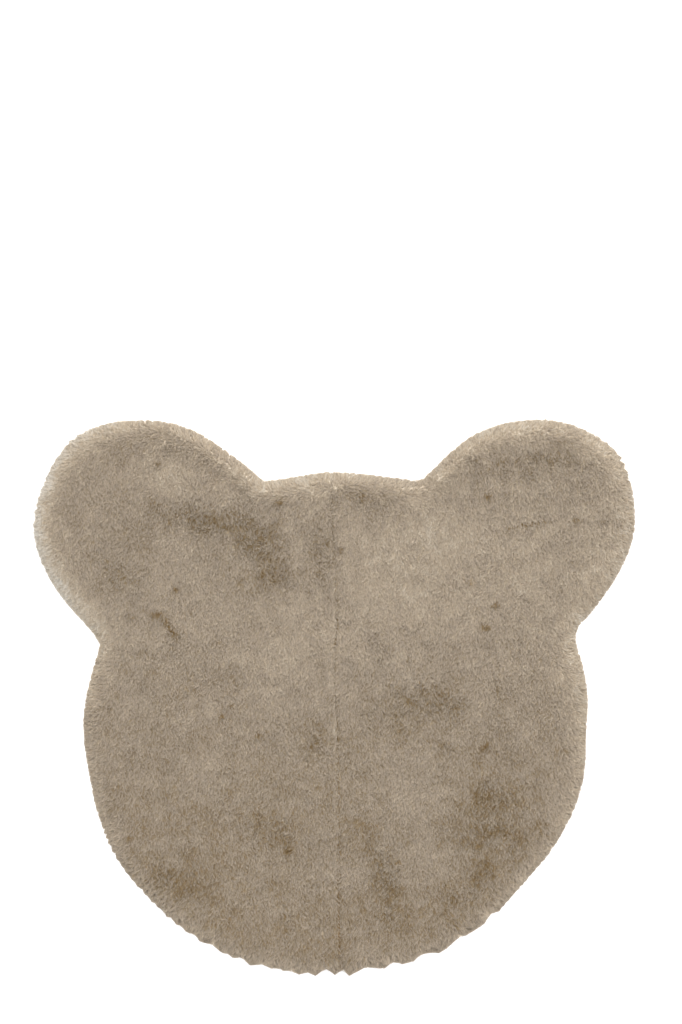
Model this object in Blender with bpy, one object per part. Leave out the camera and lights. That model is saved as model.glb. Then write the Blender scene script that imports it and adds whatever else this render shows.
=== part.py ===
"""Floor rug for a child's room in the outline of a bear's head: two half panels of deep faux fur, sewn
together.

Metres and +Z up. The rug lies flat with its underside on z = 0 and its ears towards +Y, and the origin is
below the middle of its box. Each panel is one closed solid: a flat underside, a pile with the dips and
swells of its lie, a rounded rim, and wedge-shaped locks of fur along that rim, each level on the floor. The
seam runs from chin to crown.
"""

import math
import random
from collections import namedtuple

import bmesh
import bpy
from mathutils import Matrix, Vector, geometry, kdtree, noise

MM = 0.001

# Driving sizes. The head and each ear start from a circle, and the stations below say how far the fur swells
# past it.
HEAD_CENTRE = Vector((0.0, -40 * MM))
HEAD_RADIUS = 378 * MM
EAR_RADIUS = 152 * MM
RIGHT_EAR_CENTRE = Vector((300 * MM, 267 * MM))
LEFT_EAR_CENTRE = Vector((-300 * MM, 267 * MM))

PILE_HEIGHT = 20 * MM  # floor to the tips of the fur in the middle of the rug, backing included
RIM_HEIGHT = 5 * MM  # the same at the outline, where the fur leans over the backing's cut edge
RIM_ROUND = 30 * MM  # width of the band in which the pile comes down to the rim
TIP_HEIGHT = 1.8 * MM  # thickness of a lock at its tip

SEAM_GAP = 0.3 * MM  # between the two panels' cut edges
SEAM_DIP = 6 * MM  # how far the pile parts down into the seam
SEAM_HALF_WIDTH = 9 * MM
CHIN_NOTCH = 9 * MM  # how far the seam draws the rim in at the chin

LOCK_WIDTH = 9 * MM  # of a lock with no length; each one is wider by LOCK_SPREAD times its length
LOCK_SPREAD = 1.2
LOCK_WIDTHS = (0.65, 1.5)  # of the narrowest and the widest lock, as shares of that
LOCK_LENGTHS = (0.4, 1.5)
LOCK_BACK_DEPTH = 12 * MM  # how far in from its tip a lock's back begins
FURROW_DEPTH = 9 * MM  # how far in from the rim the furrow between two locks begins
LOCK_RIDGE = 2.0 * MM  # how far the back stands above the furrow
LOCK_SEED = 11

WAVE_HEIGHT = 2.4 * MM  # small unevenness all over the pile
WAVE_LENGTH = 48 * MM

OUTLINE_STEPS = 16  # straight steps between two stations of the outline
GRID_STEP = 18 * MM  # spacing of the pile's points away from the rim
RING_DEPTHS = (17 * MM, 28 * MM)  # rows of points that round the rim off, in from the outline
SEAM_ROWS = (7 * MM, 18 * MM)  # rows of points that shape the trough beside the seam
SEAM_STEP = 15 * MM

# The outline goes anticlockwise from the chin in stretches, each along the head or an ear. corner: whether it
# starts in a corner, where an ear leaves the head. tufts: the rim's points where they are given one by one.
Stretch = namedtuple("Stretch", "centre radius stations corner tufts", defaults=((),))

# Stations of a stretch. bearing: degrees from +X about the circle's centre. swell: mm past the circle. lock:
# length in mm of the locks there.
Station = namedtuple("Station", "bearing swell lock")

HEAD_RIGHT_SIDE = (
    Station(272, -2, 4),
    Station(282, -4, 4),
    Station(298, -3, 4),
    Station(306, -2, 3.5),
    Station(316, -7, 1.6),
    Station(323, -6, 1.6),
    Station(331, 0, 1.6),
    Station(346, 6, 1.6),
    Station(360, 2, 1.6),
    Station(366, 6, 1.6),
    Station(373, 7, 1.6),
    Station(380, 9, 1.6),
)
RIGHT_EAR = (
    Station(-67, 20, 1.6),
    Station(-60, 14, 1.6),
    Station(-50, 5, 1.6),
    Station(-38, 0, 1.6),
    Station(-10, 0, 1.6),
    Station(10, 2, 1.6),
    Station(25, 6, 2.5),
    Station(40, 10, 3.5),
    Station(52, 7, 3.5),
    Station(70, 3, 2.5),
    Station(90, 0, 1.6),
    Station(120, 4, 1.6),
    Station(140, 10, 1.6),
    Station(153, 18, 1.6),
    Station(160, 28, 1.6),
)
CROWN_RIGHT = (
    Station(70.7, 10, 1.6),
    Station(79, 3, 1.6),
)
CROWN_LEFT = (
    Station(91, 2, 1.6),
    Station(100, 0, 1.6),
)
LEFT_EAR = (
    Station(16.7, 52, 1.6),
    Station(27, 34, 1.6),
    Station(40, 19, 1.6),
    Station(55, 11, 1.6),
    Station(72, 4, 1.6),
    Station(88, -1, 1.6),
    Station(106, 0, 1.6),
    Station(124, 2, 3.5),
    Station(138, -1, 3.5),
    Station(156, -4, 3.5),
    Station(176, -2, 3.5),
    Station(190, 1, 2.5),
    Station(210, 2, 1.6),
    Station(228, 8, 1.6),
    Station(242, 18, 1.6),
    Station(251, 31, 1.6),
)
HEAD_LEFT_SIDE = (
    Station(161, -7, 1.6),
    Station(169, -5, 1.6),
    Station(179, -1, 1.6),
    Station(193, -2, 1.6),
    Station(202, 2, 1.6),
    Station(213, 5, 2.5),
    Station(225, 2, 3),
    Station(235, 3, 4),
    Station(247, 1, 4),
    Station(262, -1, 4),
)

# Below the chin the long fur gathers in tufts of very different widths. Each point of the rim there: degrees
# from +X about the head's centre, distance from it in mm, and whether it is a tuft's tip or a valley.
TuftPoint = namedtuple("TuftPoint", "bearing reach is_tip")
CHIN_RIGHT = (
    TuftPoint(273.5, 378.2, True),
    TuftPoint(277.0, 367.5, False),
    TuftPoint(281.75, 373.5, True),
    TuftPoint(284.5, 366.4, False),
    TuftPoint(286.0, 373.9, True),
    TuftPoint(288.5, 375.0, True),
    TuftPoint(292.0, 367.9, False),
    TuftPoint(294.75, 377.2, True),
    TuftPoint(296.75, 376.1, True),
    TuftPoint(299.5, 371.2, False),
    TuftPoint(302.5, 373.9, True),
    TuftPoint(307.0, 374.6, True),
    TuftPoint(310.25, 369.0, False),
)
CHIN_LEFT = (
    TuftPoint(232.75, 378.8, False),
    TuftPoint(234.25, 382.1, True),
    TuftPoint(236.5, 379.1, False),
    TuftPoint(238.25, 382.5, True),
    TuftPoint(240.75, 378.4, False),
    TuftPoint(244.0, 381.4, True),
    TuftPoint(245.25, 378.8, False),
    TuftPoint(246.5, 381.8, True),
    TuftPoint(248.25, 376.2, False),
    TuftPoint(250.75, 382.5, True),
    TuftPoint(253.25, 376.5, False),
    TuftPoint(255.75, 378.0, True),
    TuftPoint(257.25, 373.1, False),
    TuftPoint(258.25, 377.2, True),
    TuftPoint(259.25, 375.0, False),
    TuftPoint(262.0, 378.8, True),
    TuftPoint(264.25, 373.5, False),
    TuftPoint(265.75, 378.0, True),
    TuftPoint(268.25, 365.3, False),
    TuftPoint(270.25, 376.1, True),
)

RIGHT_HALF = (
    Stretch(HEAD_CENTRE, HEAD_RADIUS, HEAD_RIGHT_SIDE, True, CHIN_RIGHT),
    Stretch(RIGHT_EAR_CENTRE, EAR_RADIUS, RIGHT_EAR, True),
    Stretch(HEAD_CENTRE, HEAD_RADIUS, CROWN_RIGHT, True),
)
LEFT_HALF = (
    Stretch(HEAD_CENTRE, HEAD_RADIUS, CROWN_LEFT, False),
    Stretch(LEFT_EAR_CENTRE, EAR_RADIUS, LEFT_EAR, True),
    Stretch(HEAD_CENTRE, HEAD_RADIUS, HEAD_LEFT_SIDE, True, CHIN_LEFT),
)

# Course of the seam in mm, from chin to crown. It wanders as a hand-guided seam does.
SeamPoint = namedtuple("SeamPoint", "x y")
SEAM = (
    SeamPoint(12, -430),
    SeamPoint(10, -350),
    SeamPoint(6, -200),
    SeamPoint(4, -50),
    SeamPoint(0, 40),
    SeamPoint(4, 130),
    SeamPoint(0, 210),
    SeamPoint(-4, 270),
    SeamPoint(-2, 360),
)

# The lie of the pile. A dip is fur brushed up and parted, a swell is fur that lies full. Each is an oval: its
# centre x and y, half its length and half its width in mm, the turn of its length from +X in degrees, and its
# height in mm.
Lie = namedtuple("Lie", "x y length width turn height")
PILE_LIE = (
    Lie(-193, 265, 85, 24, -15, -3.2),
    Lie(-112, 236, 38, 26, -50, -2.6),
    Lie(-84, 184, 36, 20, -35, -2.6),
    Lie(-20, 212, 48, 18, 85, -2.6),
    Lie(48, 300, 40, 18, 0, -2.2),
    Lie(300, 352, 70, 18, 12, -2.4),
    Lie(-326, 186, 40, 20, -55, -2.0),
    Lie(-160, 32, 34, 18, -30, -1.4),
    Lie(-26, -58, 24, 16, 90, -2.2),
    Lie(116, -8, 42, 24, 20, -2.8),
    Lie(174, -12, 30, 18, -60, -2.0),
    Lie(234, -152, 34, 26, 60, -3.0),
    Lie(240, -206, 60, 20, 0, -2.8),
    Lie(224, -262, 20, 20, 0, -3.0),
    Lie(54, -200, 34, 16, 0, -2.4),
    Lie(74, -262, 40, 18, -65, -2.4),
    Lie(86, -322, 36, 26, 90, -1.8),
    Lie(-96, -200, 50, 26, -30, -1.8),
    Lie(-231, -280, 55, 22, -25, -2.6),
    Lie(174, -318, 36, 22, 60, -1.8),
    Lie(-246, 334, 60, 34, 20, 1.8),
    Lie(-36, 298, 24, 20, 0, 1.2),
    Lie(144, 238, 90, 50, 10, 1.8),
    Lie(99, 160, 80, 34, -10, 1.4),
    Lie(-96, 28, 44, 34, 0, 1.4),
    Lie(-193, -107, 38, 24, 20, 1.4),
    Lie(121, -137, 50, 60, 0, 1.4),
    Lie(129, -262, 24, 60, 0, 1.4),
    Lie(-141, -317, 36, 24, 0, 1.2),
)

FUR_COLOUR = (0.328, 0.266, 0.198, 1.0)
FUR_ROUGHNESS = 0.95


def clear_scene():
    for old in list(bpy.data.objects):
        bpy.data.objects.remove(old, do_unlink=True)


def collection(name):
    made = bpy.data.collections.new(name)
    bpy.context.scene.collection.children.link(made)
    return made


def fur_material(name):
    material = bpy.data.materials.new(name)
    material.use_nodes = True
    shader = material.node_tree.nodes["Principled BSDF"]
    shader.inputs["Base Color"].default_value = FUR_COLOUR
    shader.inputs["Roughness"].default_value = FUR_ROUGHNESS
    shader.inputs["Metallic"].default_value = 0.0
    material.diffuse_color = FUR_COLOUR
    return material


def station_point(stretch, station):
    bearing = math.radians(station.bearing)
    reach = stretch.radius + station.swell * MM
    return stretch.centre + reach * Vector((math.cos(bearing), math.sin(bearing)))


def guide_curve(name, points, corners, cyclic, guides):
    """A flat Bezier curve through the points, smooth but for the corners, and left out of the render."""
    data = bpy.data.curves.new(name, "CURVE")
    data.resolution_u = OUTLINE_STEPS
    spline = data.splines.new("BEZIER")
    spline.use_cyclic_u = cyclic
    spline.bezier_points.add(len(points) - 1)
    for index, (knot, point) in enumerate(zip(spline.bezier_points, points)):
        knot.co = (point.x, point.y, 0.0)
        knot.handle_left_type = knot.handle_right_type = "VECTOR" if index in corners else "AUTO"
    guide = bpy.data.objects.new(name, data)
    guide.hide_render = True
    guide.display_type = "WIRE"
    guides.objects.link(guide)
    return guide


def curve_points(guide):
    """The points of the evaluated curve, in order."""
    bpy.context.view_layer.update()
    evaluated = guide.evaluated_get(bpy.context.evaluated_depsgraph_get())
    points = [vertex.co.xy for vertex in evaluated.to_mesh().vertices]
    evaluated.to_mesh_clear()
    return points


class Rim:
    """One stretch of the outline as a line with a length, and the length of the locks along it."""

    def __init__(self, points, locks):
        self.points = points
        self.locks = locks
        self.marks = [0.0]
        for before, after in zip(points, points[1:]):
            self.marks.append(self.marks[-1] + (after - before).length)
        self.length = self.marks[-1]

    def at(self, distance):
        """Point, inward direction and lock length at a distance along the line."""
        step = 0
        while step < len(self.points) - 2 and self.marks[step + 1] < distance:
            step += 1
        share = (distance - self.marks[step]) / (self.marks[step + 1] - self.marks[step])
        point = self.points[step].lerp(self.points[step + 1], share)
        along = (self.points[step + 1] - self.points[step]).normalized()
        lock = self.locks[step] + share * (self.locks[step + 1] - self.locks[step])
        return point, Vector((-along.y, along.x)), lock

    def distance_to(self, place):
        """How far along the line its point nearest to a place is."""
        nearest = min(range(len(self.points)), key=lambda index: (self.points[index] - place).length)
        return self.marks[nearest]


def outline_rims(stretches, guides):
    """One Rim for each stretch."""
    rows = [(station_point(stretch, row), row.lock * MM) for stretch in stretches for row in stretch.stations]
    starts = [0]
    for stretch in stretches:
        starts.append(starts[-1] + len(stretch.stations))
    corners = [start for start, stretch in zip(starts, stretches) if stretch.corner]
    points = curve_points(guide_curve("outline_guide", [point for point, _ in rows], corners, True, guides))
    locks = []
    for (_, lock), (_, next_lock) in zip(rows, rows[1:] + rows[:1]):
        for step in range(OUTLINE_STEPS):
            locks.append(lock + (next_lock - lock) * step / OUTLINE_STEPS)
    points.append(points[0])
    locks.append(locks[0])
    rims = []
    for start, end in zip(starts, starts[1:]):
        reach = slice(start * OUTLINE_STEPS, end * OUTLINE_STEPS + 1)
        rims.append(Rim(points[reach], locks[reach]))
    return rims


def oval_distance(place, lie):
    """How far a place is from the middle of an oval: 1 is on its edge."""
    turn = math.radians(lie.turn)
    out = place - Vector((lie.x, lie.y)) * MM
    along = out.x * math.cos(turn) + out.y * math.sin(turn)
    across = out.y * math.cos(turn) - out.x * math.sin(turn)
    return math.hypot(along / (lie.length * MM), across / (lie.width * MM))


class Pile:
    """The pile's depth from the rim, side of the seam and height above the floor at any place on the rug."""

    def __init__(self, rims, seam):
        self.seam = seam
        places = [point for rim in rims for point in rim.points]
        self.outline = kdtree.KDTree(len(places))
        for index, place in enumerate(places):
            self.outline.insert((place.x, place.y, 0.0), index)
        self.outline.balance()

    def depth(self, place):
        """Distance from the outline."""
        return self.outline.find((place.x, place.y, 0.0))[2]

    def seam_x(self, y):
        for low, high in zip(self.seam, self.seam[1:]):
            if y <= high.y:
                break
        return low.x + (high.x - low.x) * (y - low.y) / (high.y - low.y)

    def right_of_seam(self, place):
        return place.x - self.seam_x(place.y)

    def height(self, place):
        shoulder = min(self.depth(place) / RIM_ROUND, 1.0)
        crown = RIM_HEIGHT + (PILE_HEIGHT - RIM_HEIGHT) * math.sqrt(1.0 - (1.0 - shoulder) ** 2)
        uneven = WAVE_HEIGHT * noise.noise(Vector((place.x, place.y, 0.0)) / WAVE_LENGTH)
        for lie in PILE_LIE:
            uneven += lie.height * MM * math.exp(-oval_distance(place, lie) ** 2)
        dip = SEAM_DIP * math.exp(-((self.right_of_seam(place) / SEAM_HALF_WIDTH) ** 2))
        return crown + shoulder * (uneven - dip)


RimPoint = namedtuple("RimPoint", "place inward is_tip")


def even_locks(rim, start, end, chance):
    """Tips of locks along a part of a stretch, and the valleys between them."""
    found = []
    distance = start
    while distance < end - LOCK_WIDTH / 2:
        valley, valley_in, lock = rim.at(distance)
        width = (LOCK_WIDTH + LOCK_SPREAD * lock) * chance.uniform(*LOCK_WIDTHS)
        length = lock * chance.uniform(*LOCK_LENGTHS)
        if end - distance < 1.6 * width:
            width = end - distance
        tip, tip_in, _ = rim.at(distance + width * chance.uniform(0.35, 0.65))
        if distance > start:
            found.append(RimPoint(valley + valley_in * length / 2, valley_in, False))
        found.append(RimPoint(tip - tip_in * length / 2, tip_in, True))
        distance += width
    return found


def given_tufts(rows):
    """The same for the tufts of a table."""
    found = []
    for row in rows:
        bearing = math.radians(row.bearing)
        outward = Vector((math.cos(bearing), math.sin(bearing)))
        found.append(RimPoint(HEAD_CENTRE + row.reach * MM * outward, -outward, row.is_tip))
    return found


def rim_points(rim, tufts, chance):
    """All tips and valleys along one stretch. Given tufts are at the end of it that meets the seam."""
    if not tufts:
        return even_locks(rim, 0.0, rim.length, chance)
    given = given_tufts(tufts)
    first = rim.distance_to(given[0].place)
    last = rim.distance_to(given[-1].place)
    if first < rim.length - last:
        return given + even_locks(rim, last, rim.length, chance)
    return even_locks(rim, 0.0, first, chance) + given


def lock_rows(found, pile):
    """Two rows of (place, height) for one stretch: its rim, and the backs and furrows behind it."""
    edge = []
    roots = []
    for point in found:
        if point.is_tip:
            edge.append((point.place, TIP_HEIGHT))
            back = point.place + point.inward * LOCK_BACK_DEPTH
            roots.append((back, pile.height(back) + LOCK_RIDGE / 2))
        else:
            edge.append((point.place, RIM_HEIGHT))
            furrow = point.place + point.inward * FURROW_DEPTH
            roots.append((furrow, pile.height(furrow) - LOCK_RIDGE / 2))
    return edge, roots


def seam_row(side, pile, chin, crown):
    """The panel's edge along the seam, from the chin to the crown."""
    low = chin.y + CHIN_NOTCH
    steps = round((crown.y - low) / SEAM_STEP)
    row = []
    for step in range(steps + 1):
        y = low + (crown.y - low) * step / steps
        place = Vector((pile.seam_x(y) + side * SEAM_GAP / 2, y))
        row.append((place, pile.height(place) if 0 < step < steps else RIM_HEIGHT))
    return row


def beside_seam(seam, side, pile):
    """Rows of places that follow the seam and shape its trough."""
    rows = []
    for offset in SEAM_ROWS:
        row = [place + Vector((side * offset, 0.0)) for place, _ in seam]
        rows += [place for place in row[1:-1] if pile.depth(place) > RING_DEPTHS[0]]
    return rows


def along_rims(rims, side, pile):
    """Rings of places that follow the outline and round the rim off."""
    found = []
    for depth in RING_DEPTHS:
        for rim in rims:
            count = max(2, round(rim.length / max(depth, GRID_STEP)))
            for index in range(count):
                point, inward, _ = rim.at((index + 0.5) * rim.length / count)
                place = point + inward * depth
                clear_of_seam = side * pile.right_of_seam(place) > sum(SEAM_ROWS) / 2
                if clear_of_seam and pile.depth(place) > 0.97 * depth:
                    found.append(place)
    return found


def inside(place, loop):
    """Whether a place is inside the closed line through the loop's points."""
    within = False
    for one, two in zip(loop, loop[1:] + loop[:1]):
        if (one.y > place.y) != (two.y > place.y):
            crossing = one.x + (two.x - one.x) * (place.y - one.y) / (two.y - one.y)
            within ^= place.x < crossing
    return within


def over_middle(line, side, pile):
    """A triangular grid of places inside the line, clear of the rings and of the rows beside the seam."""
    found = []
    row_step = GRID_STEP * math.sqrt(3) / 2
    half_rows = math.ceil((HEAD_RADIUS + EAR_RADIUS) / row_step)
    half_columns = math.ceil((HEAD_RADIUS + EAR_RADIUS) / GRID_STEP)
    for row in range(-half_rows, half_rows):
        for column in range(-half_columns, half_columns):
            place = Vector((column + 0.5 * (row % 2), 0.0)) * GRID_STEP + Vector((0.0, row * row_step))
            from_seam = side * pile.right_of_seam(place) - SEAM_ROWS[-1]
            from_rings = pile.depth(place) - RING_DEPTHS[-1]
            if min(from_seam, from_rings) > GRID_STEP / 2 and inside(place, line):
                found.append(place)
    return found


def panel_mesh(name, side, stretches, rims, pile, chance):
    """One half panel. side is 1 for the right half and -1 for the left."""
    edge = []
    roots = []
    for stretch, rim in zip(stretches, rims):
        if edge:
            edge.append((rim.points[0], RIM_HEIGHT))
        stretch_edge, stretch_roots = lock_rows(rim_points(rim, stretch.tufts, chance), pile)
        edge += stretch_edge
        roots += stretch_roots
    chin, crown = sorted((rims[0].points[0], rims[-1].points[-1]), key=lambda point: point.y)
    seam = seam_row(side, pile, chin, crown)
    loop = edge + (seam[::-1] if side > 0 else seam)
    line = [place for place, _ in loop]
    middle = beside_seam(seam, side, pile) + along_rims(rims, side, pile) + over_middle(line, side, pile)
    points = loop + roots + [(place, pile.height(place)) for place in middle]

    flat = [place for place, _ in points]
    _, _, triangles, *_ = geometry.delaunay_2d_cdt(flat, [], [range(len(loop))], 1, 1e-6)
    mesh = bmesh.new()
    top = [mesh.verts.new((place.x, place.y, height)) for place, height in points]
    for triangle in triangles:
        mesh.faces.new([top[index] for index in triangle])
    rim_edges = [edge for edge in mesh.edges if edge.is_boundary]
    dropped = bmesh.ops.extrude_edge_only(mesh, edges=rim_edges)["geom"]
    for element in dropped:
        if isinstance(element, bmesh.types.BMVert):
            element.co.z = 0.0
    open_edges = [edge for edge in mesh.edges if edge.is_boundary]
    underside = bmesh.ops.holes_fill(mesh, edges=open_edges)["faces"]
    bmesh.ops.triangulate(mesh, faces=underside, ngon_method="BEAUTY")
    bmesh.ops.recalc_face_normals(mesh, faces=mesh.faces[:])
    data = bpy.data.meshes.new(name)
    mesh.to_mesh(data)
    mesh.free()
    data.shade_smooth()
    data.set_sharp_from_angle(angle=math.radians(60))
    return data


def centre_over_origin(meshes):
    """Moves the meshes together, so that the middle of their box is above the origin."""
    places = [vertex.co.xy for mesh in meshes for vertex in mesh.vertices]
    low = Vector((min(place.x for place in places), min(place.y for place in places), 0.0))
    high = Vector((max(place.x for place in places), max(place.y for place in places), 0.0))
    for mesh in meshes:
        mesh.transform(Matrix.Translation(-(low + high) / 2))


def build():
    clear_scene()
    rug = collection("bear_head_rug")
    guides = collection("guides")
    rims = outline_rims(RIGHT_HALF + LEFT_HALF, guides)
    seam_places = [Vector(point) * MM for point in SEAM]
    pile = Pile(rims, curve_points(guide_curve("seam_guide", seam_places, (), False, guides)))
    chance = random.Random(LOCK_SEED)
    halves = (
        ("panel_right", 1, RIGHT_HALF, rims[: len(RIGHT_HALF)]),
        ("panel_left", -1, LEFT_HALF, rims[len(RIGHT_HALF) :]),
    )
    meshes = [panel_mesh(*half, pile, chance) for half in halves]
    centre_over_origin(meshes)
    for mesh in meshes:
        mesh.materials.append(fur_material(mesh.name + "_fur"))
        rug.objects.link(bpy.data.objects.new(mesh.name, mesh))


build()
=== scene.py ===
# %% [markdown]
# # Bear shaped kids rug
#
# The real rug is a flat cut piece: two half panels of deep faux fur in the outline of a bear's head, sewn
# together from chin to crown. Faux fur is a knitted backing with acrylic fibre brushed up out of it, so
# this file builds it in the same three layers: the backing, the dense undercoat just above it, and the long
# fur on top, lock by lock.
#
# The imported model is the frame. Its two panels say where the rug lies, how high the pile stands and where
# the rim's locks end, and every layer below is worked out from them.

# %% Load the frame
import math
import random
from collections import namedtuple

import bmesh
import bpy
import numpy as np
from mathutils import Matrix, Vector, kdtree, noise


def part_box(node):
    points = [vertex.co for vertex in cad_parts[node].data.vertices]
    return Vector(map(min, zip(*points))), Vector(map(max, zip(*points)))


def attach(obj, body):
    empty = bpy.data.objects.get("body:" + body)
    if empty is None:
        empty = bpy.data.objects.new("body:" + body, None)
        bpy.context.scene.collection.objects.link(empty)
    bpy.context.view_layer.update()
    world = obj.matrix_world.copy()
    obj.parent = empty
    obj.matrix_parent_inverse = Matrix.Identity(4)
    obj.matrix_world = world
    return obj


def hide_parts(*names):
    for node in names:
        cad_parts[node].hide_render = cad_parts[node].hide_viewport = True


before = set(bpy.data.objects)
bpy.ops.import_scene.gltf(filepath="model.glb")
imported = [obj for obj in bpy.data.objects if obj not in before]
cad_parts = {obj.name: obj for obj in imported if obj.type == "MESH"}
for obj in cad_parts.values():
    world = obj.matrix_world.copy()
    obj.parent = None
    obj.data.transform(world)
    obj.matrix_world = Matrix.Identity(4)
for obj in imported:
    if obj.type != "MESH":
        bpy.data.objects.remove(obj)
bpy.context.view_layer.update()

MM = 0.001
SIDES = ("left", "right")
PANEL = {side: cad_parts["panel_" + side] for side in SIDES}
for side in SIDES:
    low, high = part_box("panel_" + side)
    print(f"panel_{side}: {(high.x - low.x) / MM:.0f} x {(high.y - low.y) / MM:.0f} x {high.z / MM:.1f} mm")

# %% [markdown]
# ## Camera, floor and light
#
# The photograph looks straight down on the rug, which fills the lower part of an upright picture. A long
# lens from high up keeps the two ears free of perspective, as a copy stand does. One pixel of the picture
# is 1.5 mm of rug, and the lens follows from that. The camera could also be orthographic, but the other
# views need a lens.

# %% Camera
PHOTO_WIDTH = 682
PHOTO_HEIGHT = 1024
MM_PER_PIXEL = 1.5
CENTRE_COLUMN = 334  # the picture's column over the rug's middle
CENTRE_ROW = 697.5
PILE_TOP = 16 * MM  # mean level of the fur's tips, where a pixel is that wide
CAMERA_HEIGHT = 6.0  # metres above the pile
FILM_WIDTH = 36.0  # mm
VIEW_REACH = 100.0  # metres

camera_data = bpy.data.cameras.new("camera")
camera_data.sensor_width = FILM_WIDTH
camera_data.lens = FILM_WIDTH * CAMERA_HEIGHT / (PHOTO_HEIGHT * MM_PER_PIXEL * MM)
camera_data.clip_end = VIEW_REACH
camera = bpy.data.objects.new("camera", camera_data)
camera.location = (
    (PHOTO_WIDTH / 2 - CENTRE_COLUMN) * MM_PER_PIXEL * MM,
    (CENTRE_ROW - PHOTO_HEIGHT / 2) * MM_PER_PIXEL * MM,
    PILE_TOP + CAMERA_HEIGHT,
)
bpy.context.scene.collection.objects.link(camera)
bpy.context.scene.camera = camera
bpy.context.scene.view_settings.view_transform = "Standard"
print(f"lens {camera_data.lens:.1f} mm, {CAMERA_HEIGHT} m above the pile")


# %% Colours and nodes
def colour(code):
    """An sRGB hex colour such as #a08c70 as linear red, green, blue and alpha."""
    parts = [int(code[start : start + 2], 16) / 255 for start in (1, 3, 5)]
    linear = [part / 12.92 if part <= 0.04045 else ((part + 0.055) / 1.055) ** 2.4 for part in parts]
    return (*linear, 1.0)


def add(tree, kind, inputs=(), **settings):
    """Adds a node. inputs gives its sockets, by name or number, a value or another node's output."""
    node = tree.nodes.new(kind)
    for name, value in settings.items():
        setattr(node, name, value)
    for key, value in dict(inputs).items():
        if isinstance(value, bpy.types.NodeSocket):
            tree.links.new(value, node.inputs[key])
        else:
            node.inputs[key].default_value = value
    return node


def new_material(name):
    """An empty material: its tree and its Principled shader."""
    material = bpy.data.materials.new(name)
    material.use_nodes = True
    return material, material.node_tree, material.node_tree.nodes["Principled BSDF"]


def ramp(tree, factor, stops):
    """A colour ramp through (place, hex colour) stops."""
    node = add(tree, "ShaderNodeValToRGB", {"Fac": factor})
    elements = node.color_ramp.elements
    while len(elements) < len(stops):
        elements.new(0.5)
    for element, (place, code) in zip(elements, stops):
        element.position = place
        element.color = colour(code)
    return node.outputs["Color"]


def in_range(tree, value, old, new, **settings):
    """A value moved from its old range to a new one."""
    ends = {"Value": value, "From Min": old[0], "From Max": old[1], "To Min": new[0], "To Max": new[1]}
    return add(tree, "ShaderNodeMapRange", ends, **settings).outputs[0]


# %% [markdown]
# The picture was taken on white, with soft light that comes mostly from the side of the ears: the upper
# rims are the palest. So the floor is plain white, the sky is an even white dome, and one wide sun stands
# behind the ears. A sun has no place, so it never shows in a view, and a wide one casts shadows as soft as
# a studio softbox. Hardly any shadow shows round the rug, so the floor is lit a little from below, as a
# photographer's white acrylic table is.

# %% Floor and light
FLOOR_SIZE = 60.0  # metres
SUN_WIDTH = 50  # degrees across
SUN_HEIGHT = 48  # degrees above the floor
SUN_TURN = -12  # degrees round from straight behind the ears
SUN_STRENGTH = 1.88
SKY_STRENGTH = 1.25
FLOOR_GLOW = 0.35  # strength of the light from below

floor_mesh = bpy.data.meshes.new("floor")
half = FLOOR_SIZE / 2
corners = [(-half, -half, 0), (half, -half, 0), (half, half, 0), (-half, half, 0)]
floor_mesh.from_pydata(corners, [], [(0, 1, 2, 3)])
floor = bpy.data.objects.new("floor", floor_mesh)
bpy.context.scene.collection.objects.link(floor)
floor_paint, _, floor_shader = new_material("white_floor")
floor_shader.inputs["Base Color"].default_value = colour("#f6f6f6")
floor_shader.inputs["Roughness"].default_value = 0.9
floor_shader.inputs["Emission Color"].default_value = colour("#ffffff")
floor_shader.inputs["Emission Strength"].default_value = FLOOR_GLOW
floor_mesh.materials.append(floor_paint)

sun_data = bpy.data.lights.new("softbox", "SUN")
sun_data.energy = SUN_STRENGTH
sun_data.angle = math.radians(SUN_WIDTH)
sun = bpy.data.objects.new("softbox", sun_data)
sun.rotation_euler = (math.radians(SUN_HEIGHT - 90), 0.0, math.radians(SUN_TURN))
bpy.context.scene.collection.objects.link(sun)

sky = bpy.data.worlds.new("white_room")
sky.use_nodes = True
sky.node_tree.nodes["Background"].inputs["Color"].default_value = colour("#fdfdfd")
sky.node_tree.nodes["Background"].inputs["Strength"].default_value = SKY_STRENGTH
bpy.context.scene.world = sky

# %% [markdown]
# ## The rug's outline
#
# Each packed panel is a closed solid that stands on the floor, so the outline is the border of its
# underside. That loop has two parts. Where it runs beside the other panel it is the seam, and the rest is
# the rim, whose points are the tips of the fur's locks and the furrows between them. The rim is also needed
# without its locks, as the line that a pair of shears would follow, so it is evened out by a moving
# average.


# %% Outline of a panel
SAME_PLACE = 0.01 * MM  # corners of triangles closer than this are one
FLOOR_LEVEL = 0.1 * MM  # what is lower than this stands on the floor
SEAM_GAP = 1 * MM  # what is closer than this to the other panel is the seam


def merged(node):
    """The node's mesh in bmesh, with its loose triangles joined."""
    mesh = bmesh.new()
    mesh.from_mesh(node.data)
    bmesh.ops.remove_doubles(mesh, verts=mesh.verts, dist=SAME_PLACE)
    return mesh


def on_floor(vertex):
    return vertex.co.z < FLOOR_LEVEL


def underside_loop(node):
    """The border of the node's underside as (x, y) points in order, anticlockwise."""
    mesh = merged(node)
    after = {}
    for face in mesh.faces:
        if all(on_floor(vertex) for vertex in face.verts):
            continue
        for loop in face.loops:
            if on_floor(loop.vert) and on_floor(loop.link_loop_next.vert):
                after[loop.vert] = loop.link_loop_next.vert
    start = here = next(iter(after))
    points = []
    while not points or here != start:
        points.append(tuple(here.co.xy))
        here = after[here]
    mesh.free()
    return np.array(points)


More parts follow.
